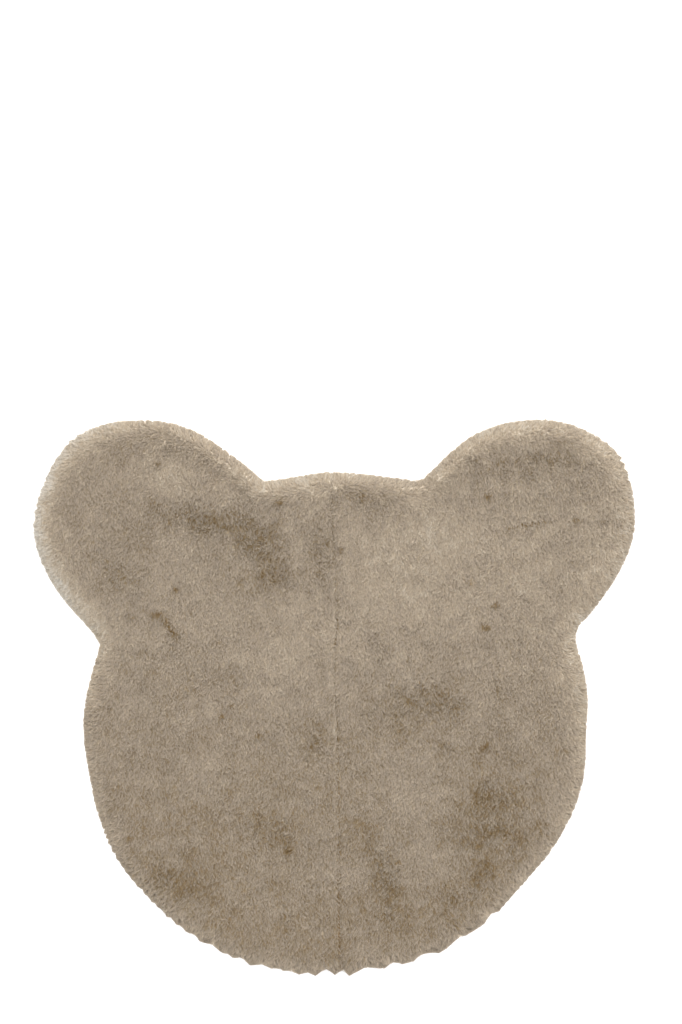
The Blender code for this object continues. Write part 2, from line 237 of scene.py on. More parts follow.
def split_at_seam(loop, other):
    """The loop's rim and its seam, the part beside the other panel's loop, as two runs of points."""
    near = np.array([np.hypot(*(other - point).T).min() < SEAM_GAP for point in loop])
    start = next(i for i in range(len(loop)) if near[i - 1] and not near[i])
    loop, near = np.roll(loop, -start, axis=0), np.roll(near, -start)
    count = int(np.argmax(near))
    rim = np.concatenate([loop[-1:], loop[: count + 1]])
    return rim, loop[count:]


def even_steps(line, step):
    """Points along an open line, a step apart."""
    marks = np.concatenate([[0], np.cumsum(np.hypot(*np.diff(line, axis=0).T))])
    at = np.linspace(0, marks[-1], round(marks[-1] / step) + 1)
    return np.stack([np.interp(at, marks, line[:, axis]) for axis in (0, 1)], 1)


LOOP = {side: underside_loop(PANEL[side]) for side in SIDES}
RIM, SEAM = {}, {}
for side, other in (SIDES, SIDES[::-1]):
    RIM[side], SEAM[side] = split_at_seam(LOOP[side], LOOP[other])
    print(f"{side}: rim of {len(RIM[side])} points, seam of {len(SEAM[side])}")

# %% The rim as a smooth line, its outward side and the tips of its locks
RIM_STEP = 1.5 * MM
RIM_REACH = 16  # steps each way that the moving average takes in


def smooth_line(line, reach):
    """The line evened out by a moving average that leaves its ends in place."""
    before = 2 * line[:1] - line[reach:0:-1]
    after = 2 * line[-1:] - line[-2 : -2 - reach : -1]
    padded = np.concatenate([before, line, after])
    window = np.hanning(2 * reach + 3)[1:-1]
    return np.stack([np.convolve(padded[:, axis], window / window.sum(), "valid") for axis in (0, 1)], 1)


def outward_of(line):
    """Unit directions to the right of an anticlockwise line."""
    along = np.gradient(line, axis=0)
    along /= np.hypot(*along.T)[:, None]
    return np.stack([along[:, 1], -along[:, 0]], 1)


SHEARED = {side: smooth_line(even_steps(RIM[side], RIM_STEP), RIM_REACH) for side in SIDES}
smooth_rim = np.concatenate([SHEARED[side] for side in SIDES])
rim_outward = np.concatenate([outward_of(SHEARED[side]) for side in SIDES])


def tree_of(points):
    """A k-d tree of flat points."""
    tree = kdtree.KDTree(len(points))
    for index, (x, y) in enumerate(points):
        tree.insert((x, y, 0.0), index)
    tree.balance()
    return tree


rim_tree = tree_of(smooth_rim)


def from_rim(x, y):
    """How many mm places lie inside the smooth rim, negative outside it, and the rim's outward way there."""
    nearest = [rim_tree.find((east, north, 0.0))[1] for east, north in zip(x, y)]
    outward = rim_outward[nearest]
    away = smooth_rim[nearest] - np.stack([x, y], 1)
    return np.copysign(np.hypot(*away.T), (away * outward).sum(1)) / MM, outward


tips = []
for side in SIDES:
    reach = -from_rim(*RIM[side].T)[0]
    between = range(1, len(reach) - 1)
    tips += [RIM[side][i] for i in between if reach[i] > max(reach[i - 1], reach[i + 1])]
tips = np.array(tips)
tip_tree = tree_of(tips)
print(f"rim {len(smooth_rim) * RIM_STEP:.2f} m long with {len(tips)} locks")

# %% [markdown]
# ## The lie of the fur
#
# What the eye reads as light and dark on deep fur is mostly the way it lies. Fur that lies flat shows its
# tips, which catch the light, and fur that was brushed up or parted shows its roots, which lie in shade, so
# the fur's colour is painted paler where it lies full and darker where it is parted: painted light and
# painted shade. The places of these patches are a short table of ovals, the same one that shapes the pile of
# the imported panels. Between them the fur drifts, which noise at a few sizes gives.

# %% Patches of the pile
# Centre x and y, half its length and half its width in mm, the turn of its length from +X in degrees, and
# how much higher the fur stands there in mm: below 0 it is parted or brushed up, above 0 it lies full.
Lie = namedtuple("Lie", "x y length width turn height")
PILE_LIE = (
    Lie(-193, 265, 85, 24, -15, -3.2),
    Lie(-112, 236, 38, 26, -50, -2.6),
    Lie(-84, 184, 36, 20, -35, -2.6),
    Lie(-20, 212, 48, 18, 85, -2.6),
    Lie(48, 300, 40, 18, 0, -2.2),
    Lie(300, 352, 70, 18, 12, -2.4),
    Lie(-326, 186, 40, 20, -55, -2.0),
    Lie(-160, 32, 34, 18, -30, -1.4),
    Lie(-26, -58, 24, 16, 90, -2.2),
    Lie(116, -8, 42, 24, 20, -2.8),
    Lie(174, -12, 30, 18, -60, -2.0),
    Lie(234, -152, 34, 26, 60, -3.0),
    Lie(240, -206, 60, 20, 0, -2.8),
    Lie(224, -262, 20, 20, 0, -3.0),
    Lie(54, -200, 34, 16, 0, -2.4),
    Lie(74, -262, 40, 18, -65, -2.4),
    Lie(86, -322, 36, 26, 90, -1.8),
    Lie(-96, -200, 50, 26, -30, -1.8),
    Lie(-231, -280, 55, 22, -25, -2.6),
    Lie(174, -318, 36, 22, 60, -1.8),
    Lie(-246, 334, 60, 34, 20, 1.8),
    Lie(-36, 298, 24, 20, 0, 1.2),
    Lie(144, 238, 90, 50, 10, 1.8),
    Lie(99, 160, 80, 34, -10, 1.4),
    Lie(-96, 28, 44, 34, 0, 1.4),
    Lie(-193, -107, 38, 24, 20, 1.4),
    Lie(121, -137, 50, 60, 0, 1.4),
    Lie(129, -262, 24, 60, 0, 1.4),
    Lie(-141, -317, 36, 24, 0, 1.2),
)


def oval(shape, x, y):
    """1 at the oval's centre, falling smoothly to 0 past its edge, for arrays of places in metres."""
    turn = math.radians(shape.turn)
    east, north = x / MM - shape.x, y / MM - shape.y
    along = (east * math.cos(turn) + north * math.sin(turn)) / shape.length
    across = (north * math.cos(turn) - east * math.sin(turn)) / shape.width
    return np.exp(-(along**2) - across**2)


# %% Drifts between the patches
# How much a drift moves a number either way, the size of its lumps in mm, and its layer of the noise.
Drift = namedtuple("Drift", "much size layer")
LAYER_STEP = 7.3  # how far apart in the noise the layers lie, so that none follows another
FRAY_EAST = Drift(16, 20, 9)  # mm that the edges of the patches are moved
FRAY_NORTH = Drift(16, 20, 10)
MOTTLE = Drift(1.0, 26, 12)
MOTTLE_SHOWS = (0.05, 0.5)  # where in that drift the spots begin and where they are full
MOTTLE_PARTS = 0.45  # how far the fur is brushed up in a full spot
PARTS_FULLY = 3.0  # mm that the fur must lie lower to be wholly brushed up


def drift(x, y, *table):
    """Smooth noise at places, as the rows of the table say."""
    total = 0.0
    for row in table:
        grid = zip(x / MM / row.size, y / MM / row.size)
        total = total + row.much * np.array([noise.noise((*spot, LAYER_STEP * row.layer)) for spot in grid])
    return total


def smoothstep(low, high, value):
    """0 below low, 1 above high and smooth between them."""
    share = np.clip((value - low) / (high - low), 0.0, 1.0)
    return share * share * (3 - 2 * share)


def lie_height(x, y):
    """Sum of the patches at places, in mm, with frayed edges."""
    east = x + MM * drift(x, y, FRAY_EAST)
    north = y + MM * drift(x, y, FRAY_NORTH)
    return sum(lie.height * oval(lie, east, north) for lie in PILE_LIE)


def parted_at(x, y):
    """How far the fur is brushed up, from 0 to 1: in the patches, and lightly in spots between them."""
    spots = MOTTLE_PARTS * smoothstep(*MOTTLE_SHOWS, drift(x, y, MOTTLE))
    return np.clip(-lie_height(x, y) / PARTS_FULLY + spots, 0.0, 1.0)


# %% [markdown]
# Over some broad places the fur is painted a little paler or darker, though it stands no higher or lower
# there: in part that is painted light, where the light that comes from the side of the ears falls more fully.
# Small partings, mostly no longer than a fingertip, are painted darker, for the shade that lies in them. Both
# are tables too.

# %% Broad painted light and shade, and small partings
# As in the table above, but the last column says how much paler the fur's colour is painted there, or darker
# below 0, as painted light and shade: 0.1 is a tenth of the way from the darkest brown to cream.
Shade = namedtuple("Shade", "x y length width turn tone")
BROAD_PAINTED_SHADES = (
    Shade(150, 200, 190, 110, 0, 0.07),
    Shade(-60, 90, 110, 70, -30, 0.05),
    Shade(100, -160, 40, 110, 0, 0.03),
    Shade(-300, 230, 90, 60, -20, -0.03),
    Shade(-60, -235, 90, 60, 0, 0.02),
    Shade(-205, 290, 60, 26, -15, 0.045),
    Shade(-220, 185, 36, 36, 0, 0.08),
    Shade(-205, 370, 70, 26, -20, -0.08),
    Shade(-300, 395, 60, 24, 25, -0.07),
    Shade(-420, 300, 24, 60, 0, -0.06),
    Shade(-365, 240, 26, 26, 0, 0.06),
    Shade(-125, 160, 40, 40, 60, -0.06),
    Shade(-175, -15, 36, 30, 0, 0.05),
    Shade(-310, -30, 30, 50, 0, 0.04),
    Shade(-26, -58, 24, 30, 0, -0.04),
    Shade(42, 316, 50, 22, 0, -0.07),
    Shade(100, 265, 36, 50, 0, -0.035),
    Shade(165, 338, 50, 24, 20, -0.07),
    Shade(325, 185, 60, 26, 10, 0.06),
    Shade(390, 236, 26, 40, 0, 0.06),
    Shade(100, -60, 40, 26, 0, -0.08),
    Shade(210, -85, 26, 50, 0, -0.05),
    Shade(279, -26, 30, 30, 0, -0.035),
    Shade(232, -150, 40, 30, 0, -0.03),
    Shade(248, -206, 30, 24, 0, 0.04),
    Shade(142, -250, 40, 50, 0, 0.03),
    Shade(20, -265, 60, 36, 0, 0.05),
    Shade(262, 143, 30, 26, 0, 0.04),
    Shade(286, 262, 36, 22, 10, 0.04),
    Shade(-260, 327, 60, 22, 5, 0.035),
    Shade(-24, 130, 24, 76, 0, -0.045),
    Shade(382, 152, 24, 24, 0, -0.035),
    Shade(-150, -320, 26, 60, 0, -0.03),
    Shade(-57, -133, 30, 26, 0, -0.035),
)
# Centre, half length and half width in mm, and turn in degrees of each parting.
Parting = namedtuple("Parting", "x y length width turn")
# The small partings are painted darker: painted shade, which lies in them.
SMALL_PARTINGS = (
    Parting(-264, 347, 5, 4, 60),
    Parting(-238, 160, 5, 4, 70),
    Parting(-267, 122, 9, 4, 20),
    Parting(-246, 101, 18, 4, -55),
    Parting(-82, 292, 10, 5, 35),
    Parting(10, 219, 5, 4, -70),
    Parting(243, 137, 6, 4, 45),
    Parting(363, 265, 5, 3.5, 80),
    Parting(230, 299, 6, 4, -60),
    Parting(202, 170, 5, 4, -60),
    Parting(288, 256, 40, 2.2, 10),
    Parting(228, 102, 6, 5, -60),
    Parting(-155, -15, 4, 3.5, 45),
    Parting(-170, -31, 6, 3.5, 60),
    Parting(-112, -59, 6, 5, 0),
    Parting(-69, -233, 6, 4, 0),
    Parting(225, -77, 9, 4, 45),
    Parting(-307, -215, 4, 3, 60),
)


def parting_depth(x, y):
    """How openly the fur is parted at places, from 0 to 1."""
    return np.clip(sum(oval(parting, x, y) for parting in SMALL_PARTINGS), 0.0, 1.0)


# %% [markdown]
# All round the rug the fur that falls over the edge shows its tips, which catch the light, and it is painted
# paler than the rest, most of all on the ears and the crown, which face the light: painted light. That too is
# a table, read by the bearing from the middle of the rug.

# %% Pale rim
# Bearing in degrees from +X, how much paler the fur is painted at the rim as painted light, and over how many
# mm that fades.
RimShade = namedtuple("RimShade", "bearing tone width")
RIM_PAINTED_LIGHT = (
    RimShade(-90, 0.16, 13),
    RimShade(-45, 0.18, 18),
    RimShade(-5, 0.16, 28),
    RimShade(34, 0.15, 34),
    RimShade(61, 0.15, 29),
    RimShade(76, 0.12, 25),
    RimShade(90, 0.17, 28),
    RimShade(119, 0.14, 27),
    RimShade(146, 0.34, 27),
    RimShade(158, 0.31, 27),
    RimShade(172, 0.12, 27),
    RimShade(185, 0.05, 28),
    RimShade(225, 0.14, 17),
)


def near_rim(depth, width):
    """1 at the rim and outside it, fading over a width in mm."""
    return np.exp(-((np.maximum(depth, 0.0) / width) ** 2))


def rim_painted_light(x, y, depth):
    """How much paler the fur is painted at places for being near the rim: painted light."""
    bearings, tones, widths = np.array(RIM_PAINTED_LIGHT).T
    bearing = np.degrees(np.arctan2(y, x))
    width = np.interp(bearing, bearings, widths, period=360)
    tone = np.interp(bearing, bearings, tones, period=360)
    return tone * near_rim(depth, width)


# %% [markdown]
# Every place on the rug then has four numbers: the way that the fur is combed, how far it leans over, how
# long it is and how pale it is. In the middle it is combed from crown to chin. Along the rim it falls
# outwards over the cut edge, and at the chin it is long there and gathers into pointed locks. At the seam it
# parts in a thin line, painted dark for the shade in the parting, with a pale ridge to its left in the middle
# of the rug. How plainly each shows changes on the way, which is a short table.

# %% The seam's parting
# At a y in mm: how far to the right of the stitches the fur parts in mm, and how plainly the dark line of
# painted shade and the pale ridge show.
SeamLook = namedtuple("SeamLook", "y parts_at dark light")
SEAM_LOOKS = (
    SeamLook(-420, -2.5, 1.0, 0.0),
    SeamLook(-330, -2.5, 1.0, 0.1),
    SeamLook(-280, -1.0, 0.55, 0.2),
    SeamLook(-190, 1.0, 0.25, 0.5),
    SeamLook(-130, 1.0, 0.65, 1.0),
    SeamLook(-60, 1.0, 0.6, 1.0),
    SeamLook(0, 1.0, 0.3, 0.8),
    SeamLook(60, 1.0, 0.4, 0.5),
    SeamLook(110, 1.0, 0.75, 0.4),
    SeamLook(170, 1.0, 0.35, 0.2),
    SeamLook(360, 1.0, 0.1, 0.0),
)
seam_line = SEAM["right"][np.argsort(SEAM["right"][:, 1])]


def beside_seam(x, y):
    """How many mm places lie to the right of the seam's parting, and how plainly it and the ridge show."""
    rows, *looks = np.array(SEAM_LOOKS).T
    parts_at, dark, light = (np.interp(y / MM, rows, look) for look in looks)
    return (x - np.interp(y, seam_line[:, 1], seam_line[:, 0])) / MM - parts_at, dark, light


def on_line(beside, width):
    """1 on a line, fading to both sides over a width in mm."""
    return np.exp(-((beside / width) ** 2))


# %% Comb
RIM_FALL = 26  # mm from the rim over which the fur turns outwards
RIM_COMB = 1.2  # how much more firmly it is combed there
CHIN = (-330 * MM, -180 * MM)  # y below and above which the fur is the chin's and the cheeks'
TO_TIPS = 0.05  # how far the fur at the rim points to the nearest lock's tip, of all the way
CHIN_TO_TIPS = 0.7  # how much further it does so at the chin
COMB_DRIFTS = (Drift(18, 70, 2), Drift(24, 18, 3))  # degrees off the way from crown to chin
PARTED_COMB = Drift(60, 9, 4)  # degrees more in the brushed up patches
SEAM_COMB = 0.5  # how firmly the fur is combed away from the parting
SEAM_COMB_WIDTH = 5  # mm
CROWN_TURN = 4  # how firmly the fur turns aside between the comb's way and the outward way behind the ears
CROWN_HALF = 40 * MM  # half the width at the middle in which it turns less


def combed(x, y):
    """The way that the fur is combed at places, as vectors of length 1 or less where it stands up."""
    depth, outward = from_rim(x, y)
    at_rim = near_rim(depth, RIM_FALL)[:, None]
    at_chin = 1 - smoothstep(*CHIN, y)[:, None]
    sway = np.radians(drift(x, y, *COMB_DRIFTS) + parted_at(x, y) * drift(x, y, PARTED_COMB))
    middle = np.stack([np.sin(sway), -np.cos(sway)], 1)
    nearest = [tip_tree.find((east, north, 0.0))[1] for east, north in zip(x, y)]
    to_tip = tips[nearest] - np.stack([x, y], 1)
    to_tip /= np.maximum(np.hypot(*to_tip.T), 1e-6)[:, None]
    fall = outward + at_rim * (TO_TIPS + CHIN_TO_TIPS * at_chin) * (to_tip - outward)
    beside, dark, _ = beside_seam(x, y)
    away = np.sign(beside) * SEAM_COMB * dark * on_line(beside, SEAM_COMB_WIDTH)
    turning = CROWN_TURN * at_rim[:, 0] * (1 - at_rim[:, 0]) * np.clip(outward[:, 1], 0.0, 1.0)
    turning *= np.clip(x / CROWN_HALF, -1, 1)
    comb = middle * (1 - at_rim) + RIM_COMB * fall * at_rim + (away + turning)[:, None] * (1.0, 0.0)
    return comb / np.maximum(np.hypot(*comb.T), 1.0)[:, None]


# %% Tone
# From 0, darkest brown, to 1, nearly white.
CHIN_TONE = 0.54  # where the fur lies evenly at the chin
# Painted light: the fur is painted paler from the middle of the rug up to the crown, where the light from
# behind the ears falls more squarely.
CROWN_PAINTED_LIGHT = 0.085  # how much paler than that it is from the middle of the rug to the crown
CROWN_FROM = (-330 * MM, 120 * MM)  # y over which that comes
# Painted light and shade: the fur is painted paler where it lies full and darker where it is parted or
# brushed up.
LIE_PAINTED_LIGHT_AND_SHADE = 0.033  # for each mm that the fur stands higher
TONE_DRIFTS = (Drift(0.045, 40, 5), Drift(0.08, 15, 6), Drift(0.04, 7, 7))
PARTED_TONES = (Drift(0.10, 10, 8), Drift(0.26, 4, 11))  # more in the brushed up patches
# Painted shade in the small partings.
PARTING_PAINTED_SHADE = 0.33
# Painted shade in the seam's parting.
SEAM_PAINTED_SHADE = 0.42
RIDGE_PALER = 0.17
RIDGE_LEFT = 3.5  # mm that the pale ridge lies to the left of the parting
SEAM_LINE = 2.0  # mm that the parting and the ridge fade over
TONE_ENDS = (0.02, 0.98)


def tone_at(x, y):
    """How pale the fur is painted at places: its own tone, with painted light and painted shade."""
    depth, _ = from_rim(x, y)
    beside, dark, light = beside_seam(x, y)
    tone = CHIN_TONE + CROWN_PAINTED_LIGHT * smoothstep(*CROWN_FROM, y) + LIE_PAINTED_LIGHT_AND_SHADE * lie_height(x, y)
    tone += sum(shade.tone * oval(shade, x, y) for shade in BROAD_PAINTED_SHADES)
    tone += rim_painted_light(x, y, depth)
    tone += drift(x, y, *TONE_DRIFTS)
    tone += parted_at(x, y) * drift(x, y, *PARTED_TONES)
    tone -= PARTING_PAINTED_SHADE * parting_depth(x, y)
    tone -= SEAM_PAINTED_SHADE * dark * on_line(beside, SEAM_LINE)
    tone += RIDGE_PALER * light * on_line(beside + RIDGE_LEFT, SEAM_LINE)
    return np.clip(tone, *TONE_ENDS)


# %% Lean and length
STANDS = 0.6  # lean of fur that is combed no way, as a share of the full lean
PARTED_UP = 0.3  # how much less the fur leans where it is brushed up
SEAM_UP = 0.15  # how much less beside the seam's parting
SEAM_SHORT = 0.35  # how much shorter it is there
SEAM_WIDTH = 4  # mm
EDGE_LONG = 0.1  # how much longer it is at the rim
CHIN_LONG = 0.9  # how much longer still at the chin's rim
EDGE_WIDTH = 16  # mm
TIP_SHOWS = 5 * MM  # how far beyond its root the part of a lock lies that shows
Pile = namedtuple("Pile", "comb lean length tone")


def pile_at(x, y):
    """The fur's numbers at places."""
    depth, _ = from_rim(x, y)
    comb = combed(x, y)
    parted = np.minimum(parted_at(x, y) + parting_depth(x, y), 1.0)
    beside, dark, _ = beside_seam(x, y)
    at_seam = dark * on_line(beside, SEAM_WIDTH)
    at_chin = 1 - smoothstep(*CHIN, y)
    lean = np.minimum(STANDS + (1 - STANDS) * np.hypot(*comb.T), 1.0)
    lean = lean - PARTED_UP * parted - SEAM_UP * at_seam
    length = 1.0 - SEAM_SHORT * at_seam + near_rim(depth, EDGE_WIDTH) * (EDGE_LONG + CHIN_LONG * at_chin)
    tone = tone_at(x + comb[:, 0] * TIP_SHOWS, y + comb[:, 1] * TIP_SHOWS)
    return Pile(comb, lean, length, tone)


# %% [markdown]
# ## The undercoat
#
# Below the long fibres lies a dense, short undercoat that nothing shines through, painted darker than the fur
# as the painted shade deep in the pile. It carries the fur, and it is the lumpy slab of the imported panel,
# only lower: its top is the panel's top face, let down by the depth of the long fur and drawn in at the rim,
# where the fur falls over it. Only below the chin does it keep the relief of the rim's locks, since no furrow
# shows on the sides and the ears. One Subdivision Surface rounds the facets off.

# %% Undercoat
BACKING_TOP = 2.5 * MM
FUR_DEPTH = 4.0 * MM  # how far the undercoat lies below the fur's tips
FUR_DEPTH_FROM = (1 * MM, 16 * MM)  # height of the pile over which that depth comes
LEAST_PILE = 0.2 * MM  # height over the backing that it keeps everywhere
LEAST_GAP = 0.05 * MM  # between its underside and the backing
RIM_INSET = 2.2 * MM  # how far it stays back from the rim
CHIN_INSET = 0.5  # share of that at the chin
INSET_FADE = 26  # mm
RIM_LEVEL = 3.4 * MM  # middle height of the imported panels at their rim, over tips and furrows
PILE_LEVEL = 20 * MM  # the same past the rounding
RIM_ROUND = 30  # mm in from the rim over which they are rounded
CALM_RIM = (12, 22)  # mm in from the rim over which the rounding gives way to the pile's own lumps
SEAM_FILL = 4.5 * MM  # how far the undercoat closes up in the trough beside the seam
SEAM_FILL_FROM = (4, 20)  # mm in from the rim over which that comes
SEAM_TROUGH = 9  # mm
UNDERCOAT_RIM = 0.15  # how much paler still it is at the rim, where light comes in from the side


def rounded(depth):
    """Height of the pile at depths from a rim that has no locks."""
    share = np.clip(depth / RIM_ROUND, 0.0, 1.0)
    return RIM_LEVEL + (PILE_LEVEL - RIM_LEVEL) * np.sqrt(1 - (1 - share) ** 2)


def pile_surface(side, levels):
    """The panel's top face, let down and drawn in, as an open surface."""
    mesh = merged(PANEL[side])
    floor_faces = [face for face in mesh.faces if any(on_floor(vertex) for vertex in face.verts)]
    bmesh.ops.delete(mesh, geom=floor_faces, context="FACES")
    places = np.array([vertex.co for vertex in mesh.verts])
    depth, outward = from_rim(places[:, 0], places[:, 1])
    inset = RIM_INSET * near_rim(depth, INSET_FADE) + np.maximum(-depth, 0.0) * MM
    above_chin = smoothstep(*CHIN, places[:, 1])
    inset *= CHIN_INSET + (1 - CHIN_INSET) * above_chin
    calm = above_chin * (1 - smoothstep(*CALM_RIM, depth))
    places[:, 2] += calm * (rounded(depth) - places[:, 2])
    beside, _, _ = beside_seam(*places[:, :2].T)
    places[:, 2] += SEAM_FILL * on_line(beside, SEAM_TROUGH) * smoothstep(*SEAM_FILL_FROM, depth)
    places[:, :2] -= outward * inset[:, None]
    places[:, 2] -= FUR_DEPTH * smoothstep(*FUR_DEPTH_FROM, places[:, 2])
    places[:, 2] = np.maximum(places[:, 2], BACKING_TOP + LEAST_PILE)
    for vertex, place in zip(mesh.verts, places):
        vertex.co = place
    data = bpy.data.meshes.new("pile_" + side)
    mesh.to_mesh(data)
    mesh.free()
    shape = bpy.data.objects.new("pile_" + side, data)
    bpy.context.scene.collection.objects.link(shape)
    rounding = shape.modifiers.new("rounding", "SUBSURF")
    rounding.levels = rounding.render_levels = levels
    return made_plain(shape, "pile_" + side)


def made_plain(shape, name):
    """A new object with the evaluated mesh of shape, which is removed."""
    bpy.context.view_layer.update()
    graph = bpy.context.evaluated_depsgraph_get()
    data = bpy.data.meshes.new_from_object(shape.evaluated_get(graph), depsgraph=graph)
    data.name = name
    bpy.data.objects.remove(shape)
    plain = bpy.data.objects.new(name, data)
    bpy.context.scene.collection.objects.link(plain)
    return plain


def undercoat(side, paint):
    """The closed body under the fur."""
    body = pile_surface(side, 1)
    mesh = bmesh.new()
    mesh.from_mesh(body.data)
    border = [edge for edge in mesh.edges if edge.is_boundary]
    dropped = bmesh.ops.extrude_edge_only(mesh, edges=border)["geom"]
    for element in dropped:
        if isinstance(element, bmesh.types.BMVert):
            element.co.z = BACKING_TOP + LEAST_GAP
    bmesh.ops.holes_fill(mesh, edges=[edge for edge in mesh.edges if edge.is_boundary])
    bmesh.ops.triangulate(mesh, faces=[face for face in mesh.faces if len(face.verts) > 4])
    bmesh.ops.recalc_face_normals(mesh, faces=mesh.faces)
    mesh.to_mesh(body.data)
    mesh.free()
    x, y = np.array([vertex.co.xy for vertex in body.data.vertices]).T
    depth, _ = from_rim(x, y)
    tone = tone_at(x, y) + UNDERCOAT_RIM * on_line(depth, INSET_FADE)
    body.data.attributes.new("tone", "FLOAT", "POINT").data.foreach_set("value", tone)
    body.data.shade_smooth()
    body.data.materials.clear()
    body.data.materials.append(paint)
    body.name = body.data.name = "undercoat_" + side
    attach(body, "root")
    return body


FIBRE_GRAIN = 1.43 * MM  # a clump of fibres, since one fibre, a fiftieth as thick, is too fine to show
FIBRE_LUMP = 6.25 * MM  # a lock's width and its neighbours'
GRAIN_FROM, GRAIN_TO = (0.12, 0.4), (0.8, 1.1)  # the two noises together, and the brightness that they give
FIBRE_RELIEF = 1 * MM


def undercoat_material():
    """Dense short acrylic down: matt, painted dark as the shade deep in the pile and between the fibres, with
    a fine fibre grain.
    """
    material, tree, shader = new_material("acrylic_undercoat")
    place = add(tree, "ShaderNodeTexCoord").outputs["Object"]
    fibres = add(tree, "ShaderNodeTexNoise", {"Vector": place, "Scale": 1 / FIBRE_GRAIN, "Detail": 3.0})
    lumps = add(tree, "ShaderNodeTexNoise", {"Vector": place, "Scale": 1 / FIBRE_LUMP, "Detail": 2.0})
    grains = fibres.outputs["Fac"]
    both = add(tree, "ShaderNodeMath", {0: grains, 1: lumps.outputs["Fac"]}, operation="MULTIPLY")
    tone = add(tree, "ShaderNodeAttribute", attribute_name="tone").outputs["Fac"]
    # Painted shade: at each tone the undercoat's colour is darker than the fur's, for the shade deep in the
    # pile.
    shade = ramp(tree, tone, ((0.0, "#755f42"), (0.38, "#947d5d"), (0.54, "#a6957b"), (1.0, "#eadfce")))
    grain = in_range(tree, both.outputs[0], GRAIN_FROM, GRAIN_TO)
    grained = add(tree, "ShaderNodeVectorMath", {0: shade, "Scale": grain}, operation="SCALE")
    tree.links.new(grained.outputs[0], shader.inputs["Base Color"])
    bump = add(tree, "ShaderNodeBump", {"Height": grains, "Strength": 0.6, "Distance": FIBRE_RELIEF})
    tree.links.new(bump.outputs["Normal"], shader.inputs["Normal"])
    shader.inputs["Roughness"].default_value = 0.95
    return material


undercoat_paint = undercoat_material()
UNDERCOAT = {side: undercoat(side, undercoat_paint) for side in SIDES}
print("undercoat faces:", {side: len(UNDERCOAT[side].data.polygons) for side in SIDES})

# %% [markdown]
# ## The backing
#
# The fur grows out of a knitted polyester cloth, cut to the same outline and about 2.5 mm thick with its
# coating. It lies flat on the floor and hardly shows from above, but it is what lies on the floor and what
# a hand feels when it turns the rug over. Its cut edge stays behind the fur that falls over the rim.

# %% Backing
BACKING_INSET = 9.0 * MM  # how far its cut edge stays behind the rim
BACKING_STEP = 6 * MM  # between the points of its outline
BACKING_CORNER = 2 * MM  # how far past the cut edge the seam's first point lies


def backing(side, paint):
    """One panel's knitted backing: a flat closed sheet."""
    along = int(BACKING_STEP / RIM_STEP)
    line = SHEARED[side]
    rim = (line - BACKING_INSET * outward_of(line))[::along]
    seam = even_steps(SEAM[side], BACKING_STEP)
    depth, _ = from_rim(*seam.T)
    loop = np.concatenate([rim, seam[depth * MM > BACKING_INSET + BACKING_CORNER]])
    mesh = bmesh.new()
    face = mesh.faces.new([mesh.verts.new((x, y, 0.0)) for x, y in loop])
    if face.normal.z > 0:
        face.normal_flip()
    lifted = bmesh.ops.extrude_face_region(mesh, geom=[face])["geom"]
    for element in lifted:
        if isinstance(element, bmesh.types.BMVert):
            element.co.z = BACKING_TOP
    bmesh.ops.triangulate(mesh, faces=[face for face in mesh.faces if len(face.verts) > 4])
    bmesh.ops.recalc_face_normals(mesh, faces=mesh.faces)
    data = bpy.data.meshes.new("backing_" + side)
    mesh.to_mesh(data)
    mesh.free()
    data.materials.append(paint)
    sheet = bpy.data.objects.new(data.name, data)
    bpy.context.scene.collection.objects.link(sheet)
    return sheet


WALE = 1.96 * MM  # from one column of stitches to the next, twice the real one's so that it shows
COURSE = 1.43 * MM  # from one row of stitches to the next, likewise
WAVE_LENGTH = math.tau / 20  # of a Wave texture of scale 1, in metres
KNIT_RELIEF = 0.6 * MM


def knit_ribs(tree, place, spacing, direction):
    """Slightly uneven ribs a spacing apart."""
    settings = {"Vector": place, "Scale": WAVE_LENGTH / spacing, "Distortion": 0.6}
    return add(tree, "ShaderNodeTexWave", settings, bands_direction=direction).outputs["Fac"]


def backing_material():
    """Warp knitted polyester with a thin latex coat: pale, matt, with fine even wales."""
    material, tree, shader = new_material("knitted_backing")
    place = add(tree, "ShaderNodeTexCoord").outputs["Object"]
    ribs = {0: knit_ribs(tree, place, WALE, "X"), 1: knit_ribs(tree, place, COURSE, "Y")}
    knit = add(tree, "ShaderNodeMath", ribs, operation="MULTIPLY").outputs[0]
    shade = ramp(tree, knit, ((0.0, "#a39482"), (0.6, "#c6b9a6")))
    tree.links.new(shade, shader.inputs["Base Color"])
    bump = add(tree, "ShaderNodeBump", {"Height": knit, "Strength": 0.5, "Distance": KNIT_RELIEF})
    tree.links.new(bump.outputs["Normal"], shader.inputs["Normal"])
    shader.inputs["Roughness"].default_value = 0.85
    return material


backing_paint = backing_material()
BACKING = {side: backing(side, backing_paint) for side in SIDES}
print("backing faces:", {side: len(BACKING[side].data.polygons) for side in SIDES})

# %% [markdown]
# ## A lock of fur
#
# Seen closely, faux fur gathers into small pointed locks two or three millimetres wide. Each lock here is
# ten tapered blades whose roots stand apart and whose tips come closer together, bent over to one side. A
# lock could be a particle system's hair, but hair is lost when the model leaves Blender, so the blades are
# real faces, one triangle to a blade. A handful of different locks is enough, because each one is turned,
# tilted and sized anew where it stands.

